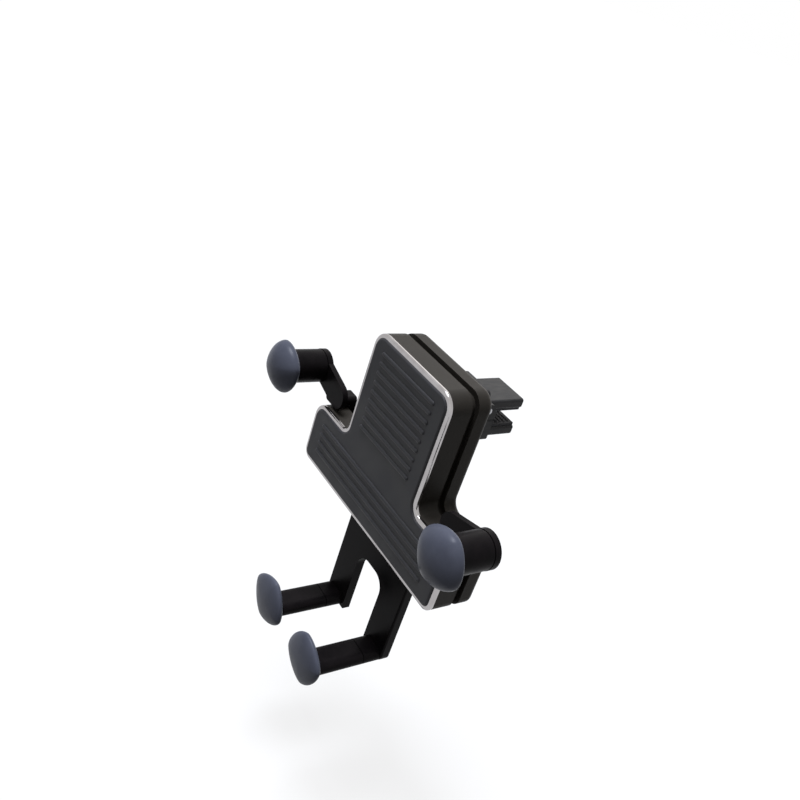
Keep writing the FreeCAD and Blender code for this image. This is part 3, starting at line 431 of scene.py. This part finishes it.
def floorFinish():  # white where it is lit, a soft grey where the holder shades it
    finish = bpy.data.materials.new("paleFloor")
    finish.use_nodes = True
    tree = finish.node_tree
    tree.nodes.clear()
    seen = seenRays(tree)
    strength = addNode(tree, "ShaderNodeMath", {0: seen, 1: floorLook["glow"]}, operation="MULTIPLY")
    glow = addNode(tree, "ShaderNodeEmission", {"Strength": strength.outputs[0]})
    grey = addNode(tree, "ShaderNodeMapRange", {
        "Value": seen, "To Min": floorLook["bounce"], "To Max": floorLook["albedo"]})
    shade = addNode(tree, "ShaderNodeBsdfDiffuse", {"Color": grey.outputs["Result"]})
    both = addNode(tree, "ShaderNodeAddShader", {0: glow.outputs[0], 1: shade.outputs[0]})
    addNode(tree, "ShaderNodeOutputMaterial", {"Surface": both.outputs[0]})
    return finish


def paleFloor():
    level = cadBox[0].z - floorLook["dropMm"] * mm
    side = floorLook["halfSideM"]
    corners = [(-side, -side, level), (side, -side, level), (side, side, level), (-side, side, level)]
    mesh = bpy.data.meshes.new("floor")
    mesh.from_pydata(corners, [], [(0, 1, 2, 3)])
    mesh.materials.append(floorFinish())
    floor = bpy.data.objects.new("floor", mesh)
    bpy.context.collection.objects.link(floor)


roomLook = {"overhead": 0.25, "level": 0.03}  # light from straight above, and from the horizon and below


def whiteRoom():  # an even white room: full white to the eye, dimmer as a light
    room = bpy.data.worlds.new("whiteRoom")
    room.use_nodes = True
    tree = room.node_tree
    tree.nodes.clear()
    way = addNode(tree, "ShaderNodeTexCoord")  # in a world, Generated is the ray's direction
    height = addNode(tree, "ShaderNodeSeparateXYZ", {"Vector": way.outputs["Generated"]})
    lamp = addNode(tree, "ShaderNodeMapRange", {
        "Value": height.outputs["Z"], "To Min": roomLook["level"], "To Max": roomLook["overhead"]})
    strength = addNode(tree, "ShaderNodeMapRange", {
        "Value": seenRays(tree), "To Min": lamp.outputs["Result"], "To Max": 1.0})
    light = addNode(tree, "ShaderNodeBackground", {
        "Color": (1, 1, 1, 1), "Strength": strength.outputs["Result"]})
    addNode(tree, "ShaderNodeOutputWorld", {"Surface": light.outputs[0]})
    bpy.context.scene.world = room


lampLooks = {  # the way each light comes from, its width in degrees, and W per square metre
    "overheadPanel": {"from": (-0.20, -0.12, 0.97), "spread": 24, "strength": 4.0, "tint": "#f1f5ff"},
    "frontFill": {"from": (0.60, -0.90, 0.45), "spread": 60, "strength": 0.10, "tint": "#fffaf4"},
    "rearFill": {"from": (-0.35, 0.90, 0.25), "spread": 60, "strength": 0.9, "tint": "#fffaf4"},
}


def panel(name, look):  # a wide soft light, the same all over the holder
    lamp = bpy.data.lights.new(name, "SUN")
    lamp.energy = look["strength"]
    lamp.angle = math.radians(look["spread"])
    lamp.color = linear(look["tint"])[:3]
    holder = bpy.data.objects.new(name, lamp)
    holder.rotation_euler = Vector(look["from"]).to_track_quat("Z", "Y").to_euler()
    bpy.context.collection.objects.link(holder)


cameraLook = {
    "aimMm": (0.51, -33.52, 4.40), "distanceMm": 230.52,
    "azimuth": 48.97, "elevation": 27.47, "roll": 18.60,  # degrees
    "lensMm": 38.62, "sensorMm": 36, "nearM": 0.01,
}


def photoCamera():
    data = bpy.data.cameras.new("photoCamera")
    data.sensor_width = cameraLook["sensorMm"]
    data.lens = cameraLook["lensMm"]
    data.clip_start = cameraLook["nearM"]
    camera = bpy.data.objects.new("photoCamera", data)
    turn = math.radians(cameraLook["azimuth"])
    rise = math.radians(cameraLook["elevation"])
    back = Vector((math.sin(turn) * math.cos(rise), -math.cos(turn) * math.cos(rise), math.sin(rise)))
    level = back.to_track_quat("Z", "Y").to_matrix()
    rolled = level @ Matrix.Rotation(math.radians(cameraLook["roll"]), 3, "Z")
    place = Vector(cameraLook["aimMm"]) * mm + back * cameraLook["distanceMm"] * mm
    camera.matrix_world = Matrix.Translation(place) @ rolled.to_4x4()
    bpy.context.collection.objects.link(camera)
    bpy.context.scene.camera = camera


paleFloor()
whiteRoom()
for lampName, lampLook in lampLooks.items():
    panel(lampName, lampLook)
photoCamera()
bpy.context.scene.view_settings.view_transform = "Standard"
print("stage set")
